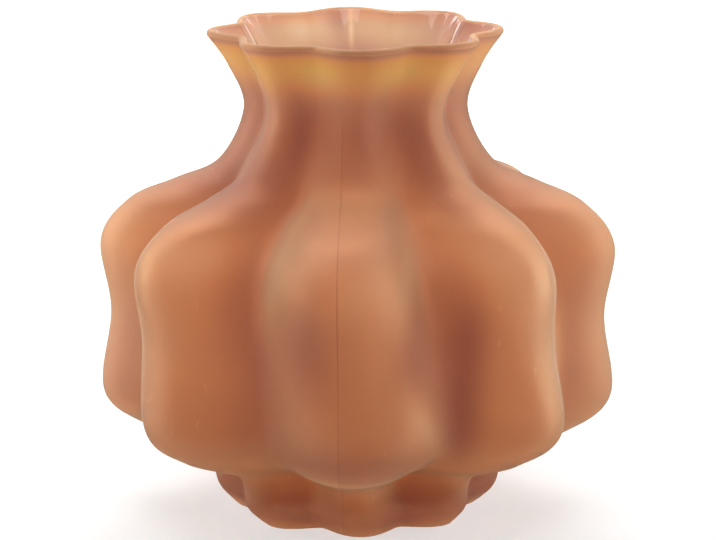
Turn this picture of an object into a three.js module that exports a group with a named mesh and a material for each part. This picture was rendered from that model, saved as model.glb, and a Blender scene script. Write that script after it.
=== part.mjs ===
// Glass vase, blown into a mould as one piece of glass: a flared, scalloped mouth, a narrow throat,
// a belly of eight lobes that each swell twice, and a smaller lobed foot with a pushed-up underside.
// The lobes run the whole height of the wall and lean a little to one side and back again.
//
// Millimetres, +Z up. The origin is on the vase's axis, in the plane that the vase stands on.
// The front is -Y, and angles are measured from the front towards +X.

import * as THREE from 'three';

// Thickness of the glass
const WALL_THICKNESS = 3.5;
const FLOOR_THICKNESS = 6;

// Radius of the corner between the inner wall and the floor
const FLOOR_CORNER_RADIUS = 8;

// Underside: the flat ring that the vase stands on, and how far the middle is pushed up
const STANDING_RING_WIDTH = 6;
const KICK_DEPTH = 2;

// Lobes: how many, and how round the creased valleys between them are (0 is a sharp fold)
const LOBE_COUNT = 8;
const CREASE_SOFTNESS = 0.15;

// Levels of the outer surface, from the standing plane to the mouth. Each has its rise above the
// level before it, its radius over a lobe, and how much deeper the valleys lie. In degrees, the
// lobes turn about the axis, and the front and rear lobes sway further. The spread, in degrees too,
// makes the front lobe wider and the rear one narrower. A crease of 0 is a valley as blunt as the
// lobes, and 1 is a creased one.
const LEVELS = {
  baseEdge: { rise: 0, crest: 52.5, valleyDepth: 10, turn: 2, sway: 0, spread: 0.5, crease: 0.5 },
  heel: { rise: 3.5, crest: 56.5, valleyDepth: 9.5, turn: 0.5, sway: 0, spread: 0.5, crease: 0.5 },
  foot: { rise: 5.5, crest: 61, valleyDepth: 9, turn: -0.5, sway: 0, spread: 0, crease: 0.5 },
  ankle: { rise: 15.5, crest: 67.5, valleyDepth: 16, turn: -1, sway: 1, spread: 0, crease: 0.4 },
  underside: { rise: 10.5, crest: 93.5, valleyDepth: 22, turn: -4, sway: 3, spread: 3.2, crease: 0.4 },
  lowerKnob: { rise: 15.5, crest: 111, valleyDepth: 20, turn: -3, sway: 4.5, spread: 4, crease: 0.5 },
  waist: { rise: 35.5, crest: 107.5, valleyDepth: 15.5, turn: -5, sway: 3.5, spread: 4.6, crease: 0.5 },
  upperKnob: { rise: 31, crest: 111.5, valleyDepth: 27, turn: -5, sway: 1, spread: 4, crease: 0.6 },
  shoulder: { rise: 18, crest: 98.5, valleyDepth: 31, turn: -4.5, sway: 1, spread: 4, crease: 0.5 },
  slope: { rise: 9, crest: 79, valleyDepth: 22, turn: -3, sway: 1, spread: 3, crease: 0.4 },
  neckRoot: { rise: 9.5, crest: 59, valleyDepth: 7.5, turn: -2, sway: 0.5, spread: 2, crease: 0.3 },
  throat: { rise: 22.5, crest: 48, valleyDepth: 6.5, turn: -1, sway: 0, spread: 0, crease: 0.1 },
  flare: { rise: 19, crest: 54.5, valleyDepth: 7.5, turn: 2, sway: 0, spread: 0, crease: 0.4 },
  mouth: { rise: 12.5, crest: 63, valleyDepth: 9, turn: 3, sway: 0, spread: 0, crease: 0.7 },
};

// How finely the curved surfaces are divided
const COLUMNS_PER_LOBE = 10;
const OUTER_ROWS = 36;
const INNER_ROWS = 26;
const LIP_ROWS = 4;
const FLOOR_CORNER_ROWS = 3;
const KICK_ROWS = 3;

// The middle of the floor is one floor thickness above the pushed-up underside
const FLOOR_HEIGHT = KICK_DEPTH + FLOOR_THICKNESS;

// Smooth curves up the wall: the radius over a lobe and in the middle of a valley, and how the
// lobes lean and how creased the valleys are at the same heights
let levelHeight = 0;
const levels = Object.values(LEVELS).map((level) => {
  levelHeight += level.rise;
  return { ...level, height: levelHeight, valley: level.crest - level.valleyDepth };
});
function curveOf(valueAt) {
  return new THREE.SplineCurve(levels.map((level) => new THREE.Vector2(valueAt(level), level.height)));
}
const crestCurve = curveOf((level) => level.crest);
const valleyCurve = curveOf((level) => level.valley);
const turnCurve = curveOf((level) => THREE.MathUtils.degToRad(level.turn));
const swayCurve = curveOf((level) => THREE.MathUtils.degToRad(level.sway));
const spreadCurve = curveOf((level) => THREE.MathUtils.degToRad(level.spread));
const creaseCurve = curveOf((level) => level.crease);

// How far a point is out of the valleys: 0 in the middle of one, 1 on the crest of a lobe
function lobeShare(lobeAngle, crease) {
  const wave = Math.cos((lobeAngle * LOBE_COUNT) / 2);
  const highest = Math.hypot(1, CREASE_SOFTNESS) - CREASE_SOFTNESS;
  const creased = (Math.hypot(wave, CREASE_SOFTNESS) - CREASE_SOFTNESS) / highest;
  return THREE.MathUtils.lerp(wave ** 2, creased, crease);
}

// A point at an angle about the axis
function onAxisCircle(angle, radius, height) {
  return new THREE.Vector3(radius * Math.sin(angle), -radius * Math.cos(angle), height);
}

// A point of the outer surface. The lobe angle is measured from the crest of the front lobe, so a
// line of one lobe angle leans as the lobes do. Way is the share of the crest's length, from 0 at
// the base edge to 1 at the mouth.
function outerPoint(lobeAngle, way) {
  const t = crestCurve.getUtoTmapping(way);
  const crest = crestCurve.getPoint(t);
  const valley = valleyCurve.getPoint(t);
  const turn = turnCurve.getPoint(t).x;
  const sway = swayCurve.getPoint(t).x * Math.cos(lobeAngle) ** 2;
  const spread = spreadCurve.getPoint(t).x * Math.sin(2 * lobeAngle) * Math.cos(lobeAngle);
  const share = lobeShare(lobeAngle, creaseCurve.getPoint(t).x);
  const radius = THREE.MathUtils.lerp(valley.x, crest.x, share);
  return onAxisCircle(lobeAngle + turn + sway + spread, radius, crest.y);
}

// The outer surface's directions at a point: up along the lobe, and square to the surface outwards
function outerDirections(lobeAngle, way) {
  const step = 1e-3;
  const lower = Math.max(way - step, 0);
  const upper = Math.min(way + step, 1);
  const up = outerPoint(lobeAngle, upper).sub(outerPoint(lobeAngle, lower)).normalize();
  const around = outerPoint(lobeAngle + step, way).sub(outerPoint(lobeAngle - step, way));
  const outward = around.cross(up).normalize();
  return { up, outward };
}

// A point of the inner surface, one wall thickness behind the outer one
function innerPoint(lobeAngle, way) {
  const { outward } = outerDirections(lobeAngle, way);
  return outerPoint(lobeAngle, way).addScaledVector(outward, -WALL_THICKNESS);
}

// A point of the half-round lip, from the outer wall (angle 0) over the top to the inner wall
function lipPoint(lobeAngle, lipAngle) {
  const { up, outward } = outerDirections(lobeAngle, 1);
  const radius = WALL_THICKNESS / 2;
  return outerPoint(lobeAngle, 1)
    .addScaledVector(outward, radius * (Math.cos(lipAngle) - 1))
    .addScaledVector(up, radius * Math.sin(lipAngle));
}

// A point moved straight towards the axis, and to another height
function movedInwards(point, distance, height) {
  const radius = Math.hypot(point.x, point.y);
  return point.clone().multiplyScalar(1 - distance / radius).setZ(height);
}

// Way up the wall at which the crest of a lobe has a height
function wayAtHeight(height) {
  let lower = 0;
  let upper = 1;
  const halvings = 30;
  for (let i = 0; i < halvings; i += 1) {
    const middle = (lower + upper) / 2;
    if (crestCurve.getPointAt(middle).y < height) {
      lower = middle;
    } else {
      upper = middle;
    }
  }
  return lower;
}

// Closed ring of points, one for each column
const COLUMNS = COLUMNS_PER_LOBE * LOBE_COUNT;
function ringOf(pointAt) {
  const ring = [];
  for (let column = 0; column < COLUMNS; column += 1) {
    ring.push(pointAt((column / COLUMNS) * 2 * Math.PI));
  }
  return ring;
}

// Underside: the hollow of the kick, out to the inner edge of the standing ring
function kickRings() {
  const rings = [];
  for (let row = 1; row <= KICK_ROWS; row += 1) {
    const share = row / KICK_ROWS;
    const height = KICK_DEPTH * Math.cos((share * Math.PI) / 2);
    rings.push(ringOf((lobeAngle) => {
      const edge = movedInwards(outerPoint(lobeAngle, 0), STANDING_RING_WIDTH, 0);
      return edge.multiplyScalar(share).setZ(height);
    }));
  }
  return rings;
}

// Outer wall, from the base edge up to the mouth
function outerRings() {
  const rings = [];
  for (let row = 0; row <= OUTER_ROWS; row += 1) {
    rings.push(ringOf((lobeAngle) => outerPoint(lobeAngle, row / OUTER_ROWS)));
  }
  return rings;
}

// Half-round lip, between the outer and the inner wall
function lipRings() {
  const rings = [];
  for (let row = 1; row < LIP_ROWS; row += 1) {
    const lipAngle = (row / LIP_ROWS) * Math.PI;
    rings.push(ringOf((lobeAngle) => lipPoint(lobeAngle, lipAngle)));
  }
  return rings;
}

// Inner wall, from the mouth down to where the floor's corner begins
const cornerWay = wayAtHeight(FLOOR_HEIGHT + FLOOR_CORNER_RADIUS);
function innerRings() {
  const rings = [];
  for (let row = 0; row <= INNER_ROWS; row += 1) {
    const way = THREE.MathUtils.lerp(1, cornerWay, row / INNER_ROWS);
    rings.push(ringOf((lobeAngle) => innerPoint(lobeAngle, way)));
  }
  return rings;
}

// Rounded corner between the inner wall and the floor
function floorCornerRings() {
  const rings = [];
  for (let row = 1; row <= FLOOR_CORNER_ROWS; row += 1) {
    const cornerAngle = ((row / FLOOR_CORNER_ROWS) * Math.PI) / 2;
    const inwards = FLOOR_CORNER_RADIUS * (1 - Math.cos(cornerAngle));
    rings.push(ringOf((lobeAngle) => {
      const start = innerPoint(lobeAngle, cornerWay);
      const height = THREE.MathUtils.lerp(start.z, FLOOR_HEIGHT, Math.sin(cornerAngle));
      return movedInwards(start, inwards, height);
    }));
  }
  return rings;
}

// One closed surface through the rings, in their order, from the middle of the underside to the
// middle of the floor
function closedSurface(rings, bottomMiddle, topMiddle) {
  const points = [bottomMiddle, ...rings.flat(), topMiddle];
  const pointNumber = (ring, column) => 1 + ring * COLUMNS + (column % COLUMNS);
  const bottom = 0;
  const top = points.length - 1;
  const last = rings.length - 1;
  const triangles = [];
  for (let column = 0; column < COLUMNS; column += 1) {
    triangles.push(bottom, pointNumber(0, column + 1), pointNumber(0, column));
    for (let ring = 0; ring < last; ring += 1) {
      const a = pointNumber(ring, column);
      const b = pointNumber(ring, column + 1);
      const c = pointNumber(ring + 1, column + 1);
      const d = pointNumber(ring + 1, column);
      triangles.push(a, b, c, a, c, d);
    }
    triangles.push(pointNumber(last, column), pointNumber(last, column + 1), top);
  }
  const geometry = new THREE.BufferGeometry().setFromPoints(points);
  geometry.setIndex(triangles);
  geometry.computeVertexNormals();
  return geometry;
}

function glassVessel() {
  const rings = [
    ...kickRings(),
    ...outerRings(),
    ...lipRings(),
    ...innerRings(),
    ...floorCornerRings(),
  ];
  const underside = new THREE.Vector3(0, 0, KICK_DEPTH);
  const floor = new THREE.Vector3(0, 0, FLOOR_HEIGHT);
  const satinAmberGlass = new THREE.MeshStandardMaterial({
    color: '#b5734a',
    roughness: 0.55,
    metalness: 0,
    transparent: true,
    opacity: 0.85,
  });
  const vessel = new THREE.Mesh(closedSurface(rings, underside, floor), satinAmberGlass);
  vessel.name = 'glass_vessel';
  return vessel;
}

const group = new THREE.Group();
group.add(glassVessel());

export default group;
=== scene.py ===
import math
from typing import NamedTuple

import bpy
import numpy as np
from mathutils import Matrix, Vector


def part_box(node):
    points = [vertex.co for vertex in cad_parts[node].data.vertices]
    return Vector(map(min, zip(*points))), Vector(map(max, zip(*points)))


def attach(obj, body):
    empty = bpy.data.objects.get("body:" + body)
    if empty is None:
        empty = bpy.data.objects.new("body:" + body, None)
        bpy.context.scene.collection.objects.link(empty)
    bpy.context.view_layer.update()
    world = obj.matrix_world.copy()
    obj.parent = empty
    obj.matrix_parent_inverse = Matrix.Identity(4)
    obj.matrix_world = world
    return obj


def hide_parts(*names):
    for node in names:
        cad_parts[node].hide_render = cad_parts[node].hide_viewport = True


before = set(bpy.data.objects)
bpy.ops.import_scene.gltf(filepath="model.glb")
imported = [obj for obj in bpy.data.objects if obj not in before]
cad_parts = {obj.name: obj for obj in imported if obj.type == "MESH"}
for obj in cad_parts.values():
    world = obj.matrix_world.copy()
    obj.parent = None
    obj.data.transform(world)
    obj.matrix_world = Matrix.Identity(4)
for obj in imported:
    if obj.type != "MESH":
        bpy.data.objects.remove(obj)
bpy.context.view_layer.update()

NODE = "glass_vessel"

# The photograph's frame
IMAGE_WIDTH = 716
IMAGE_HEIGHT = 540


class Level(NamedTuple):
    """A level of the outer surface, from the standing plane to the mouth."""

    rise: float  # above the level before it
    crest: float  # radius over a lobe
    valley_depth: float  # how much deeper the valleys lie
    turn: float  # of the lobes about the axis, in degrees
    sway: float  # further turn of the front and rear lobes, in degrees
    spread: float  # makes the front lobe wider and the rear one narrower, in degrees
    crease: float  # 0: valleys as blunt as the lobes, 1: creased valleys
    crest_glass_and_shading: float  # share of the mean tint over a lobe, where the glass is blown thin; also painted light and shade on the crest
    valley_glass_and_shading: float  # share of the mean tint in a valley, where it stays thick; also painted shade in the valley


# The crest and valley shares are partly glass thickness and partly painted light and shade: darker
# valleys, lighter or darker crests
LEVELS = {
    "base_edge": Level(0.0, 0.0525, 0.010, 2.0, 0.0, 0.5, 0.5, 0.45, 0.65),
    "heel": Level(0.0035, 0.0565, 0.0095, 0.5, 0.0, 0.5, 0.5, 1.0, 1.6),
    "foot": Level(0.0055, 0.061, 0.009, -0.5, 0.0, 0.0, 0.5, 1.5, 2.2),
    "ankle": Level(0.0155, 0.0675, 0.016, -1.0, 1.0, 0.0, 0.4, 0.8, 1.15),
    "underside": Level(0.0105, 0.0935, 0.022, -4.0, 3.0, 3.2, 0.4, 0.95, 0.9),
    "lower_knob": Level(0.0155, 0.111, 0.02, -3.0, 4.5, 4.0, 0.5, 1.0, 1.15),
    "waist": Level(0.0355, 0.1075, 0.0155, -5.0, 3.5, 4.6, 0.5, 0.95, 1.25),
    "upper_knob": Level(0.031, 0.1115, 0.027, -5.0, 1.0, 4.0, 0.6, 0.9, 1.15),
    "shoulder": Level(0.018, 0.0985, 0.031, -4.5, 1.0, 4.0, 0.5, 1.15, 1.2),
    "slope": Level(0.009, 0.079, 0.022, -3.0, 1.0, 3.0, 0.4, 1.45, 1.35),
    "neck_root": Level(0.0095, 0.059, 0.0075, -2.0, 0.5, 2.0, 0.3, 1.55, 1.4),
    "throat": Level(0.0225, 0.048, 0.0065, -1.0, 0.0, 0.0, 0.1, 1.5, 1.55),
    "flare": Level(0.019, 0.0545, 0.0075, 2.0, 0.0, 0.0, 0.4, 1.1, 1.0),
    "mouth": Level(0.0125, 0.063, 0.009, 3.0, 0.0, 0.0, 0.7, 1.5, 1.5),
}


class ShadePatch(NamedTuple):
    """A place where painted shade deepens the tint, or painted light lifts it, partly standing for
    glass blown thicker or thinner than round about.
    """

    angle: float  # about the axis from the front towards the right, in degrees
    height: float
    half_angle: float  # to where it has faded to about a third, in degrees
    half_height: float  # the same up and down
    lean: float  # turn about the axis for a metre of height, in degrees
    painted_shading: float  # share of the mean tint that it adds as painted shade, partly thick glass; below 0 painted light, where the glass is thin


SHADE_PATCHES = {
    # Painted shade in the valleys beside the front lobe
    "right_valley_top": ShadePatch(25, 0.101, 8, 0.020, 0, 0.4),
    "right_valley_side": ShadePatch(29, 0.092, 3.5, 0.024, 0, 0.5),
    "right_valley_foot": ShadePatch(27, 0.062, 4, 0.024, -60, 0.6),
    "left_valley": ShadePatch(-31, 0.106, 5, 0.028, -120, 0.4),
    "left_valley_foot": ShadePatch(-27, 0.062, 5, 0.018, 0, 0.15),
    "left_valley_side": ShadePatch(-25, 0.088, 3, 0.016, 0, 0.3),
    # Front lobe, where a painted highlight swings as a ridge from the brow down to the right; painted
    # shade under the lobe and a painted light line along its lower edge
    "front_lobe": ShadePatch(-11, 0.096, 6, 0.022, 0, 0.55),
    "front_lobe_flank": ShadePatch(-21, 0.122, 4, 0.024, 100, -0.5),
    "front_lobe_brow": ShadePatch(-4, 0.148, 17, 0.008, 0, -0.5),
    "front_lobe_top": ShadePatch(-1, 0.118, 6, 0.010, 0, -0.2),
    "front_lobe_swing_top": ShadePatch(13, 0.118, 3.5, 0.018, 150, -0.35),
    "front_lobe_swing": ShadePatch(5, 0.096, 4, 0.022, 80, -0.15),
    "front_lobe_swing_foot": ShadePatch(17, 0.060, 4, 0.014, -250, -0.5),
    "front_lobe_right_side": ShadePatch(14, 0.088, 3, 0.014, 0, 0.25),
    "front_lobe_bottom": ShadePatch(-4, 0.045, 15, 0.008, 0, 0.6),
    "front_lobe_edge": ShadePatch(-2, 0.0345, 24, 0.003, 0, -0.35),
    # Foot: painted light and shade
    "foot_left_side": ShadePatch(-50, 0.022, 7, 0.012, 0, 0.3),
    "foot_left": ShadePatch(-19, 0.018, 6, 0.010, 0, -0.45),
    "foot_right": ShadePatch(11, 0.018, 8, 0.010, 0, -0.5),
    # The other lobes of the belly, and the slopes above them: painted light on shoulders and edges,
    # painted shade on sides and slopes
    "front_left_shoulder": ShadePatch(-40, 0.126, 9, 0.014, 0, -0.4),
    "front_left_edge": ShadePatch(-62, 0.085, 4, 0.030, 0, -0.3),
    "front_left_side": ShadePatch(-53, 0.078, 4, 0.028, 0, 0.2),
    "front_right_shoulder": ShadePatch(36, 0.122, 11, 0.020, 0, -0.4),
    "front_right_slope": ShadePatch(28, 0.143, 6, 0.012, 0, -0.3),
    "front_right_knob": ShadePatch(36, 0.062, 8, 0.018, 0, -0.2),
    "front_right_edge": ShadePatch(53, 0.076, 6, 0.030, 0, -0.4),
    "right_lobe_valley": ShadePatch(65, 0.082, 3, 0.020, 0, -0.6),
    "right_lobe": ShadePatch(74, 0.090, 12, 0.035, 0, 0.2),
    "rear_right_slope": ShadePatch(131, 0.149, 18, 0.012, 0, 0.3),
    "left_lobe": ShadePatch(-85, 0.070, 10, 0.025, 0, 0.2),
    "left_slope": ShadePatch(-65, 0.150, 25, 0.012, 0, 0.3),
    # Neck: painted light and shade
    "neck_left": ShadePatch(-31, 0.168, 5, 0.022, 0, 0.4),
    "neck_left_side": ShadePatch(-44, 0.172, 5, 0.022, 0, -0.3),
    "neck_front": ShadePatch(3, 0.168, 7, 0.018, 0, 0.05),
    "neck_right": ShadePatch(30, 0.158, 6, 0.016, 0, 0.3),
    "neck_right_side": ShadePatch(46, 0.172, 7, 0.026, 0, -0.45),
    "neck_far_right": ShadePatch(82, 0.162, 18, 0.018, 0, -0.35),
    "neck_foot_right": ShadePatch(50, 0.152, 7, 0.010, 0, -0.3),
    "neck_foot_front": ShadePatch(12, 0.156, 18, 0.012, 0, -0.12),
    # Under the lip in front, painted glow; the rear of the mouth as it is seen from inside, with a
    # painted reflection spot and a painted highlight streak along the seam
    "glow_left": ShadePatch(-20, 0.200, 9, 0.010, 0, -0.25),
    "glow_right": ShadePatch(25, 0.202, 8, 0.008, 0, -0.25),
    "mouth_rear": ShadePatch(180, 0.204, 75, 0.007, 0, -0.3),
    "mouth_rear_foot": ShadePatch(180, 0.189, 50, 0.007, 0, 0.45),
    "mouth_rear_spot": ShadePatch(188, 0.204, 6, 0.006, 0, 0.35),
    "mouth_rear_seam": ShadePatch(182, 0.200, 1.5, 0.012, 0, -0.35),
    "mouth_rear_left": ShadePatch(208, 0.204, 7, 0.006, 0, -0.25),
    "mouth_right": ShadePatch(120, 0.204, 25, 0.008, 0, 0.4),
}
# Share of the mean tint in the rounded lip
LIP_GLASS = 0.95

WALL_THICKNESS = 0.0035
FLOOR_THICKNESS = 0.006
# Radius of the corner between the inner wall and the floor
FLOOR_CORNER_RADIUS = 0.008
# Underside: the flat ring that the vase stands on, and how far the middle is pushed up
STANDING_RING_WIDTH = 0.006
KICK_DEPTH = 0.002
# The floor's upper side is one floor thickness above the pushed-up middle
FLOOR_HEIGHT = KICK_DEPTH + FLOOR_THICKNESS
LOBE_COUNT = 8
# How round the creased valleys are: 0 is a sharp fold
CREASE_SOFTNESS = 0.15
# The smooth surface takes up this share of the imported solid's box
BOX_CLEARANCE = 0.9998

# The mould's seam: its plane stands beside the axis and is turned a little
SEAM_OFFSET = 0.0041
SEAM_TURN = math.radians(1.8)
SEAM_HEIGHT = 0.00012
SEAM_HALF_WIDTH = 0.00028
# It begins above the base edge and ends under the mouth, each over a short height
SEAM_BEGINS_OVER = 0.004
SEAM_ENDS_BELOW_MOUTH = 0.022
SEAM_ENDS_OVER = 0.012
# Share of the mean tint that the seam adds, and what it adds besides round a middle height
SEAM_GLASS = 0.25
SEAM_GLASS_MIDDLE = 0.5
SEAM_MIDDLE_HEIGHT = 0.108
SEAM_MIDDLE_REACH = 0.024

# How finely the surfaces are divided
COLUMNS = 320
# Distances of the fine columns from the seam, and how many even columns' room they take
SEAM_COLUMNS = (-0.0007, -0.00045, -0.0003, -0.00015, 0.0, 0.00015, 0.0003, 0.00045, 0.0007)
SEAM_COLUMNS_ROOM = 1.2
OUTER_ROWS = 150
LIP_ROWS = 10
INNER_ROWS = 90
CORNER_ROWS = 8
FLOOR_ROWS = 6
KICK_ROWS = 8
# Steps in which the crest's length is measured, and in which a turn is undone
CREST_STEPS = 4000
UNTURN_STEPS = 12
# Step up and around by which the surface's directions are found
DIRECTION_STEP = 1e-3


def catmull_rom(values, t):
    """Smooth curve through values, at t from 0 to 1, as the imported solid's."""
    values = np.asarray(values, float)
    last = len(values) - 1
    place = np.clip(np.asarray(t, float), 0, 1) * last
    i = np.minimum(place.astype(int), last - 1)
    u = place - i
    before, here = values[np.maximum(i - 1, 0)], values[i]
    after, beyond = values[i + 1], values[np.minimum(i + 2, last)]
    slope_here, slope_after = (after - before) / 2, (beyond - here) / 2
    return (
        (2 * here - 2 * after + slope_here + slope_after) * u**3
        + (-3 * here + 3 * after - 2 * slope_here - slope_after) * u**2
        + slope_here * u
        + here
    )


LEVEL_HEIGHTS = np.cumsum([level.rise for level in LEVELS.values()])
LEVEL_CRESTS = np.array([level.crest for level in LEVELS.values()])
LEVEL_VALLEYS = LEVEL_CRESTS - [level.valley_depth for level in LEVELS.values()]
LEVEL_TURNS = np.radians([level.turn for level in LEVELS.values()])
LEVEL_SWAYS = np.radians([level.sway for level in LEVELS.values()])
LEVEL_SPREADS = np.radians([level.spread for level in LEVELS.values()])
LEVEL_CREASES = [level.crease for level in LEVELS.values()]
# Tint shares at crests and valleys, which also carry painted light and shade
CREST_GLASS_AND_SHADING = [level.crest_glass_and_shading for level in LEVELS.values()]
VALLEY_GLASS_AND_SHADING = [level.valley_glass_and_shading for level in LEVELS.values()]

# Ways up the wall are shares of the crest's length
CREST_PLACES = np.linspace(0, 1, CREST_STEPS + 1)
CREST_RADII = catmull_rom(LEVEL_CRESTS, CREST_PLACES)
CREST_HEIGHTS = catmull_rom(LEVEL_HEIGHTS, CREST_PLACES)
CREST_STEP_LENGTHS = np.hypot(np.diff(CREST_RADII), np.diff(CREST_HEIGHTS))
CREST_WAYS = np.concatenate([[0], np.cumsum(CREST_STEP_LENGTHS)])
CREST_WAYS /= CREST_WAYS[-1]


def lobe_share(lobe_angle, crease):
    """0 in the middle of a valley, 1 on the crest of a lobe."""
    wave = np.cos(lobe_angle * LOBE_COUNT / 2)
    highest = math.hypot(1, CREASE_SOFTNESS) - CREASE_SOFTNESS
    creased = (np.hypot(wave, CREASE_SOFTNESS) - CREASE_SOFTNESS) / highest
    return wave**2 + (creased - wave**2) * crease


def curve_place(way):
    """Place on the curves through the levels, at a share of the crest's length."""
    return np.interp(way, CREST_WAYS, CREST_PLACES)


def turned(lobe_angle, way):
    """Angle about the axis of a lobe angle, which is measured from the front lobe's crest."""
    t = curve_place(way)
    sway = catmull_rom(LEVEL_SWAYS, t) * np.cos(lobe_angle) ** 2
    spread = catmull_rom(LEVEL_SPREADS, t) * np.sin(2 * lobe_angle) * np.cos(lobe_angle)
    return lobe_angle + catmull_rom(LEVEL_TURNS, t) + sway + spread


def lobe_angle_at(angle, way):
    """The lobe angle that is turned to an angle about the axis."""
    lobe_angle = angle
    for _ in range(UNTURN_STEPS):
        lobe_angle = lobe_angle + angle - turned(lobe_angle, way)
    return lobe_angle


def outer_points(lobe_angle, way):
    """Points of the outer surface."""
    t = curve_place(way)
    crest, valley = catmull_rom(LEVEL_CRESTS, t), catmull_rom(LEVEL_VALLEYS, t)
    radius = valley + (crest - valley) * lobe_share(lobe_angle, catmull_rom(LEVEL_CREASES, t))
    angle = turned(lobe_angle, way)
    height = catmull_rom(LEVEL_HEIGHTS, t) + 0 * angle
    return np.stack([radius * np.sin(angle), -radius * np.cos(angle), height], axis=-1)


def glass_and_shade_tint(lobe_angle, way):
    """Share of the mean tint at points of the wall, from glass thickness and from the painted light and
    shade of crests, valleys and patches.
    """
    t = curve_place(way)
    crest, valley = catmull_rom(CREST_GLASS_AND_SHADING, t), catmull_rom(VALLEY_GLASS_AND_SHADING, t)
    tint = valley + (crest - valley) * lobe_share(lobe_angle, 0.0)
    angle, height = turned(lobe_angle, way), catmull_rom(LEVEL_HEIGHTS, t)
    for patch in SHADE_PATCHES.values():
        up = height - patch.height
        around = angle - np.radians(patch.angle + patch.lean * up)
        around, up = around / math.radians(patch.half_angle), up / patch.half_height
        tint = tint + patch.painted_shading * np.exp(-(around**2) - up**2)
    return tint


def unit(vectors):
    """The vectors at length 1."""
    return vectors / np.linalg.norm(vectors, axis=-1, keepdims=True)


def outer_directions(lobe_angle, way):
    """Up along the lobe, and square to the outer surface outwards."""
    lower, upper = np.maximum(way - DIRECTION_STEP, 0), np.minimum(way + DIRECTION_STEP, 1)
    up = unit(outer_points(lobe_angle, upper) - outer_points(lobe_angle, lower))
    left, right = lobe_angle - DIRECTION_STEP, lobe_angle + DIRECTION_STEP
    around = outer_points(right, way) - outer_points(left, way)
    return up, unit(np.cross(around, up))


def columns_at(way):
    """Lobe angles of the mesh's columns at each way up, and how far they are from the seam.

    The columns are even, but with fine ones at the seam, front and back.
    """
    spacing = 2 * math.pi / COLUMNS
    even = (np.arange(COLUMNS) + 0.5) * spacing - math.pi / 2
    room = SEAM_COLUMNS_ROOM * spacing
    even = even[(np.abs(even) > room) & (np.abs(even - math.pi) > room)]
    radius = np.linalg.norm(outer_points(lobe_angle_at(0 * way, way), way)[..., :2], axis=-1)
    lean = np.arcsin(SEAM_OFFSET / radius)
    front, rear = -lean - SEAM_TURN, lean - SEAM_TURN
    fine = np.array(SEAM_COLUMNS) / radius
    even = np.broadcast_to(even, (len(way), len(even)))
    base = np.sort(np.concatenate([even, fine, fine + math.pi], axis=1), axis=1)
    front_share = (1 + np.cos(base)) / 2
    angle = base + front * front_share + rear * (1 - front_share)
    from_seam = np.minimum(np.abs(base * radius), np.abs((base - math.pi) * radius))
    return lobe_angle_at(angle, way), from_seam


def seam_share(distance, height):
    """1 along the seam, fading out beside it, under the mouth and at the base edge."""
    below_end = LEVEL_HEIGHTS[-1] - SEAM_ENDS_BELOW_MOUTH - height
    begun = np.clip(height / SEAM_BEGINS_OVER, 0, 1)
    not_ended = np.clip(below_end / SEAM_ENDS_OVER, 0, 1)
    return np.exp(-((distance / SEAM_HALF_WIDTH) ** 2)) * begun * not_ended


def moved_inwards(points, distance, height):
    """Points moved towards the axis by a distance, and to a height."""
    radius = np.linalg.norm(points[..., :2], axis=-1, keepdims=True)
    moved = points * (1 - distance / radius)
    moved[..., 2] = height
    return moved


def way_at_height(height):
    """Way up the wall at which the crest of a lobe has a height."""
    return float(np.interp(height, CREST_HEIGHTS, CREST_WAYS))


def underside_rings():
    """Rings from the middle of the underside to the inner edge of the flat ring, and their tints."""
    way = np.zeros((1, 1))
    lobe_angle, _ = columns_at(way)
    ring_edge = moved_inwards(outer_points(lobe_angle, way)[0], STANDING_RING_WIDTH, 0)
    rings = []
    for row in range(1, KICK_ROWS + 1):
        share = row / KICK_ROWS
        ring = ring_edge * share
        ring[:, 2] = KICK_DEPTH * math.cos(share * math.pi / 2)
        rings.append(ring)
    return rings, [glass_and_shade_tint(lobe_angle, way)[0]] * KICK_ROWS


def outer_rings():
    """Rings up the outside, with the seam, from the base edge to the mouth, and their tints."""
    way = np.linspace(0, 1, OUTER_ROWS + 1)[:, None]
    lobe_angle, from_seam = columns_at(way)
    outer = outer_points(lobe_angle, way)
    _, outward = outer_directions(lobe_angle, way)
    seam = seam_share(from_seam, outer[..., 2])
    near_middle = np.exp(-(((outer[..., 2] - SEAM_MIDDLE_HEIGHT) / SEAM_MIDDLE_REACH) ** 2))
    seam_tint = seam * (SEAM_GLASS + SEAM_GLASS_MIDDLE * near_middle)
    rings = outer + outward * (SEAM_HEIGHT * seam)[..., None]
    return list(rings), list(glass_and_shade_tint(lobe_angle, way) + seam_tint)


def lip_rings():
    """Rings over the half-round lip, between the mouth's outer and inner edges, and their tints."""
    way = np.ones((1, 1))
    lobe_angle, _ = columns_at(way)
    edge = outer_points(lobe_angle, way)[0]
    up, outward = (directions[0] for directions in outer_directions(lobe_angle, way))
    radius = WALL_THICKNESS / 2
    rings = []
    for row in range(1, LIP_ROWS):
        lip_angle = math.pi * row / LIP_ROWS
        inwards = outward * radius * (math.cos(lip_angle) - 1)
        rings.append(edge + inwards + up * radius * math.sin(lip_angle))
    return rings, [np.full(len(edge), LIP_GLASS)] * len(rings)


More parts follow.
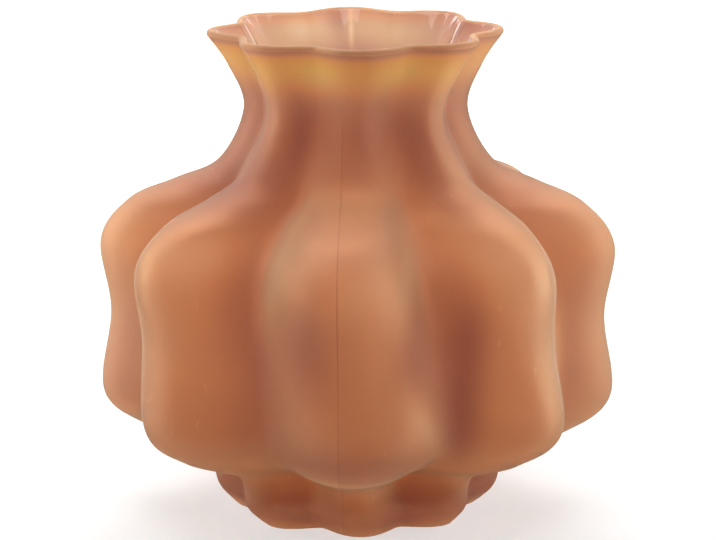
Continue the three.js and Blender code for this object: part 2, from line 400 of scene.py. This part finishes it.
def inner_rings():
    """Rings down the inside, round the corner and over the floor to its middle, and their tints."""
    way = np.linspace(1, way_at_height(FLOOR_HEIGHT + FLOOR_CORNER_RADIUS), INNER_ROWS + 1)[:, None]
    lobe_angle, _ = columns_at(way)
    _, outward = outer_directions(lobe_angle, way)
    rings = list(outer_points(lobe_angle, way) - outward * WALL_THICKNESS)
    tints = list(glass_and_shade_tint(lobe_angle, way))

    wall_foot = rings[-1]
    for row in range(1, CORNER_ROWS + 1):
        corner_angle = math.pi / 2 * row / CORNER_ROWS
        height = wall_foot[:, 2] + (FLOOR_HEIGHT - wall_foot[:, 2]) * math.sin(corner_angle)
        inwards = FLOOR_CORNER_RADIUS * (1 - math.cos(corner_angle))
        rings.append(moved_inwards(wall_foot, inwards, height))
    floor_edge = rings[-1]
    for row in range(1, FLOOR_ROWS):
        ring = floor_edge * (1 - row / FLOOR_ROWS)
        ring[:, 2] = FLOOR_HEIGHT
        rings.append(ring)
    tints += [tints[-1]] * (len(rings) - len(tints))
    return rings, tints


def vessel_rings():
    """All rings in order with their tints, and the number of the ring where the inside begins."""
    rings, tints = [], []
    for part in (underside_rings, outer_rings, lip_rings, inner_rings):
        inner_from = len(rings)
        part_rings, part_tints = part()
        rings += part_rings
        tints += part_tints
    return rings, tints, inner_from


def closed_mesh(name, rings, bottom, top):
    """One closed surface through the rings, with a fan at each end, and where the fans begin."""
    columns = len(rings[0])
    points = np.vstack([[bottom], *rings, [top]])
    column = np.arange(columns)
    following = (column + 1) % columns
    starts = 1 + columns * np.arange(len(rings))
    faces = []
    for lower, upper in zip(starts[:-1], starts[1:]):
        corners = (lower + column, lower + following, upper + following, upper + column)
        faces.extend(np.column_stack(corners).tolist())
    fan_start = len(faces)
    bottom_fan = (np.zeros_like(column), 1 + following, 1 + column)
    top_fan = (starts[-1] + column, starts[-1] + following, np.full_like(column, len(points) - 1))
    for corners in (bottom_fan, top_fan):
        faces.extend(np.column_stack(corners).tolist())
    mesh = bpy.data.meshes.new(name)
    mesh.from_pydata(points.tolist(), [], faces)
    mesh.update()
    mesh.polygons.foreach_set("use_smooth", np.ones(len(faces), bool))
    return mesh, fan_start


class Nodes:
    """The nodes of a material or world, with short calls to add and join them."""

    def __init__(self, owner):
        self.owner = owner
        owner.use_nodes = True
        self.tree = owner.node_tree
        self.tree.nodes.clear()
        world = isinstance(owner, bpy.types.World)
        self.output = self.add("ShaderNodeOutputWorld" if world else "ShaderNodeOutputMaterial")

    def add(self, kind, settings=None, **inputs):
        """A new node. Inputs are named as the sockets are, with _ for a space, and may be links."""
        node = self.tree.nodes.new(kind)
        for key, value in (settings or {}).items():
            setattr(node, key, value)
        for key, value in inputs.items():
            self.fill(node.inputs[key.replace("_", " ")], value)
        return node

    def link(self, source, target):
        """Joins an output socket to an input socket."""
        self.tree.links.new(source, target)

    def fill(self, socket, value):
        """Sets an input socket to a value, or joins it to the socket that the value is."""
        if isinstance(value, bpy.types.NodeSocket):
            self.link(value, socket)
        else:
            socket.default_value = value

    def maths(self, operation, *values):
        """The result of a math node on values that may be links."""
        node = self.add("ShaderNodeMath", {"operation": operation})
        for socket, value in zip(node.inputs, values):
            self.fill(socket, value)
        return node.outputs["Value"]

    def place(self):
        """Coordinates of the surface, in metres from the object's origin."""
        return self.add("ShaderNodeTexCoord").outputs["Object"]

    def noise(self, place, scale, detail=2.0):
        """Soft noise from 0 to 1, with so many waves in a metre."""
        return self.add("ShaderNodeTexNoise", Vector=place, Scale=scale, Detail=detail).outputs["Fac"]

    def colour(self, channels):
        """A colour from three channels that may be links."""
        red, green, blue = channels
        return self.add("ShaderNodeCombineColor", Red=red, Green=green, Blue=blue).outputs["Color"]

    def ramp(self, value, start, end, low=0.0, high=1.0):
        """Smoothly from low where the value is start to high where it is end."""
        return self.add(
            "ShaderNodeMapRange",
            {"interpolation_type": "SMOOTHSTEP"},
            Value=value,
            From_Min=start,
            From_Max=end,
            To_Min=low,
            To_Max=high,
        ).outputs["Result"]

    def mixed(self, share, first, second):
        """The first value where the share is 0, the second where it is 1."""
        return self.add("ShaderNodeMix", Factor=share, A=first, B=second).outputs["Result"]


# Tint of the light that goes through the etched outside where the wall is of mean thickness
WALL_TINT = (0.82, 0.465, 0.26)
# Further tint where the share is one above the mean, for glass twice as thick and for painted shade;
# and the tint that very thin glass and painted light lose
SHADE_AND_THICK_TINT = (0.56, 0.44, 0.6)
LIGHT_AND_THIN_TINT = (0.6, 0.4, 0.3)
# Name of the point attribute that holds the tint share, painted light and shade included
TINT_ATTRIBUTE = "glass_and_shade_tint"
# Further tint of the glow under the lip, and the heights where it begins and where it is full
RIM_TINT = (1.75, 1.7, 0.6)
RIM_BEGINS = (0.182, 0.202)
# Heights between which the glow ends again, just below the lip
RIM_ENDS = (0.2035, 0.2075)
# The glow is weaker on the right: places across where it turns so, and the share that is left
RIM_SIDES = (0.030, 0.050)
RIM_RIGHT_SHARE = 0.5
# Tint of the smooth inner side, and its further tint under the lip
INNER_TINT = (0.76, 0.45, 0.27)
INNER_RIM_TINT = (0.76, 1.01, 1.32)
# Tint of the light that the etched skin scatters, its further tint under the lip, and how much of
# the surface the skin covers
SKIN_TINT = (0.77, 0.56, 0.33)
SKIN_RIM_TINT = (1.35, 1.25, 0.8)
SKIN_SHARE = 0.25
GLASS_IOR = 1.5
SATIN_ROUGHNESS = 0.8
GLOSSY_ROUGHNESS = 0.08
# Tint of what the etched surface reflects
GLOSS_TINT = (1.0, 0.75, 0.6, 1)
# Haze that the etched surface shows at a glancing angle
HAZE_WEIGHT = 0.35
HAZE_ROUGHNESS = 0.3
HAZE_TINT = (1.0, 0.85, 0.65, 1)
# Fine grain of the etched surface: how many grains in a metre, and how deep
GRAIN_SCALE = 2400.0
GRAIN_STRENGTH = 0.15
GRAIN_DEPTH = 0.00005
# Soft clouds of thicker and thinner glass: how many in a metre, and how much they add
CLOUD_SCALE = 16.0
CLOUD_DEPTH = 0.6
# Sparse pale scuffs, longer upright than across: how many in a metre, where they gather, how pale
SCUFF_SCALE = 320.0
SCUFF_SQUEEZE = (1.0, 1.0, 0.4)
SCUFF_EDGES = (0.67, 0.75)
SCUFF_FIELD_SCALE = 24.0
SCUFF_FIELD_EDGES = (0.52, 0.64)
SCUFF_PALENESS = 0.22


def scuffs(n):
    """1 on the sparse scuffs that handling leaves on the etched surface."""
    place = n.place()
    upright = n.add("ShaderNodeMapping", Vector=place, Scale=SCUFF_SQUEEZE).outputs["Vector"]
    marks = n.noise(upright, SCUFF_SCALE)
    field = n.noise(place, SCUFF_FIELD_SCALE, 1.0)
    return n.maths("MULTIPLY", n.ramp(marks, *SCUFF_EDGES), n.ramp(field, *SCUFF_FIELD_EDGES))


def shading_and_thickness_tint(n, scuffed):
    """Channels of the further tint where the glass is thick and where shade is painted, above 1 where
    it is thin and where light is painted.
    """
    share = n.add("ShaderNodeAttribute", {"attribute_name": TINT_ATTRIBUTE}).outputs["Fac"]
    cloud = n.noise(n.place(), CLOUD_SCALE)
    unevenness = n.maths("MULTIPLY", n.maths("SUBTRACT", cloud, 0.5), CLOUD_DEPTH)
    extra = n.maths("ADD", n.maths("SUBTRACT", share, 1.0), unevenness)
    if scuffed:
        extra = n.maths("SUBTRACT", extra, n.maths("MULTIPLY", scuffs(n), SCUFF_PALENESS))
    more, less = n.maths("MAXIMUM", extra, 0.0), n.maths("MINIMUM", extra, 0.0)
    return [
        n.maths("MULTIPLY", n.maths("POWER", shaded_thick, more), n.maths("POWER", lit_thin, less))
        for shaded_thick, lit_thin in zip(SHADE_AND_THICK_TINT, LIGHT_AND_THIN_TINT)
    ]


def rim_glow(n):
    """1 in the band under the lip where light from the mouth glows through the wall."""
    apart = n.add("ShaderNodeSeparateXYZ", Vector=n.place()).outputs
    across, height = apart["X"], apart["Z"]
    from_within_glass = n.add("ShaderNodeNewGeometry").outputs["Backfacing"]
    band = n.maths("MULTIPLY", n.ramp(height, *RIM_BEGINS), n.ramp(height, *RIM_ENDS, 1.0, 0.0))
    band = n.maths("MULTIPLY", band, n.ramp(across, *RIM_SIDES, 1.0, RIM_RIGHT_SHARE))
    return n.maths("MULTIPLY", band, n.maths("SUBTRACT", 1.0, from_within_glass))


def side_colour(n, side_tint, rim_tint, scuffed=False):
    """Colour of a side of the wall, with the painted light and shade of its tint share, which rim_tint
    tints further under the lip.
    """
    glow = rim_glow(n)
    channels = []
    for thickness_and_shading, side, rim in zip(shading_and_thickness_tint(n, scuffed), side_tint, rim_tint):
        plain = n.maths("MULTIPLY", thickness_and_shading, side)
        channels.append(n.maths("MULTIPLY", plain, n.maths("MULTIPLY_ADD", glow, rim - 1, 1.0)))
    return n.colour(channels)


def satin_glass():
    """The etched outside: amber glass under a fine matt skin."""
    n = Nodes(bpy.data.materials.new("satin_amber_glass"))
    grain = n.noise(n.place(), GRAIN_SCALE)
    bump = n.add("ShaderNodeBump", Strength=GRAIN_STRENGTH, Distance=GRAIN_DEPTH, Height=grain)
    grainy = bump.outputs["Normal"]
    # Its base colour carries the painted light and shade of the tint share
    glass = n.add(
        "ShaderNodeBsdfPrincipled",
        Base_Color=side_colour(n, WALL_TINT, RIM_TINT, scuffed=True),
        Roughness=SATIN_ROUGHNESS,
        IOR=GLASS_IOR,
        Transmission_Weight=1.0,
        Specular_Tint=GLOSS_TINT,
        Sheen_Weight=HAZE_WEIGHT,
        Sheen_Roughness=HAZE_ROUGHNESS,
        Sheen_Tint=HAZE_TINT,
        Normal=grainy,
    )
    skin_colour = side_colour(n, SKIN_TINT, SKIN_RIM_TINT, scuffed=True)
    skin = n.add("ShaderNodeBsdfDiffuse", Color=skin_colour, Normal=grainy)
    both = n.add("ShaderNodeMixShader", Fac=SKIN_SHARE)
    n.link(glass.outputs["BSDF"], both.inputs[1])
    n.link(skin.outputs["BSDF"], both.inputs[2])
    n.link(both.outputs["Shader"], n.output.inputs["Surface"])
    return n.owner


def clear_glass():
    """The smooth inside of the wall."""
    n = Nodes(bpy.data.materials.new("smooth_amber_glass"))
    # Its base colour also carries the painted light and shade of the tint share
    shader = n.add(
        "ShaderNodeBsdfPrincipled",
        Base_Color=side_colour(n, INNER_TINT, INNER_RIM_TINT),
        Roughness=GLOSSY_ROUGHNESS,
        IOR=GLASS_IOR,
        Transmission_Weight=1.0,
    )
    n.link(shader.outputs["BSDF"], n.output.inputs["Surface"])
    return n.owner


def room_in_box(points):
    """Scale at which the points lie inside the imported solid's box, whose facets cut a little off."""
    lowest, highest = (np.array(corner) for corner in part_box(NODE))
    below = lowest[:2] / points.min(axis=0)[:2]
    above = highest / points.max(axis=0)
    return min(*below, *above) * BOX_CLEARANCE


def make_vessel():
    """The vase as one piece, satin outside and glossy inside."""
    rings, tints, inner_from = vessel_rings()
    scale = room_in_box(np.concatenate(rings))
    rings = [ring * scale for ring in rings]
    middles = [(0, 0, KICK_DEPTH * scale), (0, 0, FLOOR_HEIGHT * scale)]
    mesh, fan_start = closed_mesh("vase", rings, *middles)
    mesh.materials.append(satin_glass())
    mesh.materials.append(clear_glass())
    tint = mesh.attributes.new(TINT_ATTRIBUTE, "FLOAT", "POINT")
    tint.data.foreach_set("value", np.concatenate([[tints[0].mean()], *tints, [tints[-1].mean()]]))
    columns = len(rings[0])
    inner_start, top_fan_start = inner_from * columns, fan_start + columns
    slot = np.zeros(len(mesh.polygons), np.int32)
    slot[inner_start:fan_start] = 1
    slot[top_fan_start:] = 1
    mesh.polygons.foreach_set("material_index", slot)
    vessel = bpy.data.objects.new("vase", mesh)
    bpy.context.scene.collection.objects.link(vessel)
    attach(vessel, "root")
    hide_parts(NODE)


# The vase's middle, at which the camera and the lights aim
AIM = Vector((0, 0, 0.105))

# Camera, as the photograph's outline gives it
CAMERA_DISTANCE = 1.290
CAMERA_ELEVATION = math.radians(13.2)
CAMERA_ROLL = math.radians(-0.19)
PIXELS_PER_METRE = 2310
AXIS_PIXEL = (356.2, 267.9)
SENSOR_WIDTH = 36
CAMERA_NEAREST = 0.05


def make_camera():
    """The photograph's camera."""
    data = bpy.data.cameras.new("camera")
    data.sensor_width = SENSOR_WIDTH
    data.sensor_fit = "HORIZONTAL"
    data.lens = PIXELS_PER_METRE * CAMERA_DISTANCE / IMAGE_WIDTH * SENSOR_WIDTH
    data.shift_x = (IMAGE_WIDTH / 2 - AXIS_PIXEL[0]) / IMAGE_WIDTH
    data.shift_y = (AXIS_PIXEL[1] - IMAGE_HEIGHT / 2) / IMAGE_WIDTH
    data.clip_start = CAMERA_NEAREST
    camera = bpy.data.objects.new("camera", data)
    back = Vector((0, -math.cos(CAMERA_ELEVATION), math.sin(CAMERA_ELEVATION)))
    camera.location = AIM + back * CAMERA_DISTANCE
    facing = back.to_track_quat("Z", "Y").to_matrix().to_4x4()
    roll = Matrix.Rotation(CAMERA_ROLL, 4, "Z")
    camera.matrix_world = Matrix.Translation(camera.location) @ facing @ roll
    bpy.context.scene.collection.objects.link(camera)
    bpy.context.scene.camera = camera


def seen_directly(n):
    """1 where a camera ray, or one through or off glass, meets the surface, and 0 for light."""
    path = n.add("ShaderNodeLightPath").outputs
    through_glass = n.maths("MAXIMUM", path["Is Glossy Ray"], path["Is Transmission Ray"])
    return n.maths("MAXIMUM", path["Is Camera Ray"], through_glass)


TABLE_SIZE = 8.0
# How pale the table is where it scatters light, and where it is seen directly and also glows
TABLE_GREY = (0.6, 0.6, 0.6, 1)
TABLE_SEEN_GREY = (0.45, 0.45, 0.45, 1)
TABLE_GLOW = 0.6
# Distances from the axis between which the table turns pure white
TABLE_TURNS_WHITE = (0.3, 0.8)
# Colour of the light that falls through the vase onto the table, as the glass shows it, and the
# distances from the axis between which it turns white
WARM_GLOW = (1.0, 0.72, 0.55)
WARM_GLOW_ENDS = (0.06, 0.3)


def make_table():
    """White table. Seen directly it is mostly glow, so that its shadow stays faint."""
    bpy.ops.mesh.primitive_plane_add(size=TABLE_SIZE)
    floor = bpy.context.object
    floor.name = "floor"
    n = Nodes(bpy.data.materials.new("white_table"))
    lit = n.add("ShaderNodeBsdfDiffuse", Color=TABLE_GREY)
    pale = n.add("ShaderNodeBsdfDiffuse", Color=TABLE_SEEN_GREY)
    distance = n.add("ShaderNodeVectorMath", {"operation": "LENGTH"}, Vector=n.place()).outputs["Value"]
    strength = n.ramp(distance, *TABLE_TURNS_WHITE, TABLE_GLOW, 1.0)
    camera_ray = n.add("ShaderNodeLightPath").outputs["Is Camera Ray"]
    white = n.maths("MAXIMUM", n.ramp(distance, *WARM_GLOW_ENDS), camera_ray)
    colour = n.colour([n.mixed(white, warm, 1.0) for warm in WARM_GLOW])
    glow = n.add("ShaderNodeEmission", Color=colour, Strength=strength)
    table = n.add("ShaderNodeAddShader")
    n.link(pale.outputs["BSDF"], table.inputs[0])
    n.link(glow.outputs["Emission"], table.inputs[1])
    either = n.add("ShaderNodeMixShader", Fac=seen_directly(n))
    n.link(lit.outputs["BSDF"], either.inputs[1])
    n.link(table.outputs["Shader"], either.inputs[2])
    n.link(either.outputs["Shader"], n.output.inputs["Surface"])
    floor.data.materials.append(n.owner)


# The backdrop behind the vase, as the glass shows it, and how far back it begins and is full, as
# the rearward part of a direction
BACKDROP_GLOW = 0.92
BACKDROP_BEGINS = (-0.1, 0.5)
# Faint light from all around
WORLD_FILL = 0.03


def make_world():
    """White seen directly. The glass shows a backdrop that stands only behind the vase."""
    world = bpy.data.worlds.new("studio")
    bpy.context.scene.world = world
    n = Nodes(world)
    direction = n.add("ShaderNodeTexCoord").outputs["Generated"]
    rearward = n.add("ShaderNodeSeparateXYZ", Vector=direction).outputs["Y"]
    backdrop = n.ramp(rearward, *BACKDROP_BEGINS, 0.0, BACKDROP_GLOW)
    camera_ray = n.add("ShaderNodeLightPath").outputs["Is Camera Ray"]
    strength = n.mixed(seen_directly(n), WORLD_FILL, backdrop)
    strength = n.mixed(camera_ray, strength, 1.0)
    background = n.add("ShaderNodeBackground", Color=(1, 1, 1, 1), Strength=strength)
    n.link(background.outputs["Background"], n.output.inputs["Surface"])


class Softbox(NamedTuple):
    """A rectangular light that faces the vase's middle."""

    place: tuple
    size: tuple
    watts: float


STRIP_SIZE = (1.0, 0.6)
TOP_SIZE = (0.8, 0.6)
SOFTBOXES = {
    "top_softbox": Softbox((0.0, 0.1, 1.35), (1.2, 1.2), 12.0),
    "left_strip": Softbox((-1.3, 0.0, 0.35), STRIP_SIZE, 3.8),
    "right_strip": Softbox((1.3, 0.0, 0.35), STRIP_SIZE, 5.4),
    "rear_left_strip": Softbox((-0.92, 0.92, 0.35), STRIP_SIZE, 5.6),
    "rear_right_strip": Softbox((0.92, 0.92, 0.35), STRIP_SIZE, 3.0),
    "rear_left_top": Softbox((-0.5, 0.5, 1.2), TOP_SIZE, 5.5),
    "rear_right_top": Softbox((0.5, 0.5, 1.2), TOP_SIZE, 4.0),
    "mouth_strip": Softbox((0.0, 1.0, 0.8), (0.5, 0.25), 5.0),
}


def make_lights():
    """The softboxes round and over the vase."""
    for name, softbox in SOFTBOXES.items():
        data = bpy.data.lights.new(name, "AREA")
        data.shape = "RECTANGLE"
        data.size, data.size_y = softbox.size
        data.energy = softbox.watts
        light = bpy.data.objects.new(name, data)
        light.location = softbox.place
        light.rotation_euler = (light.location - AIM).to_track_quat("Z", "Y").to_euler()
        bpy.context.scene.collection.objects.link(light)


make_vessel()
make_camera()
make_table()
make_world()
make_lights()
bpy.context.scene.view_settings.view_transform = "Standard"
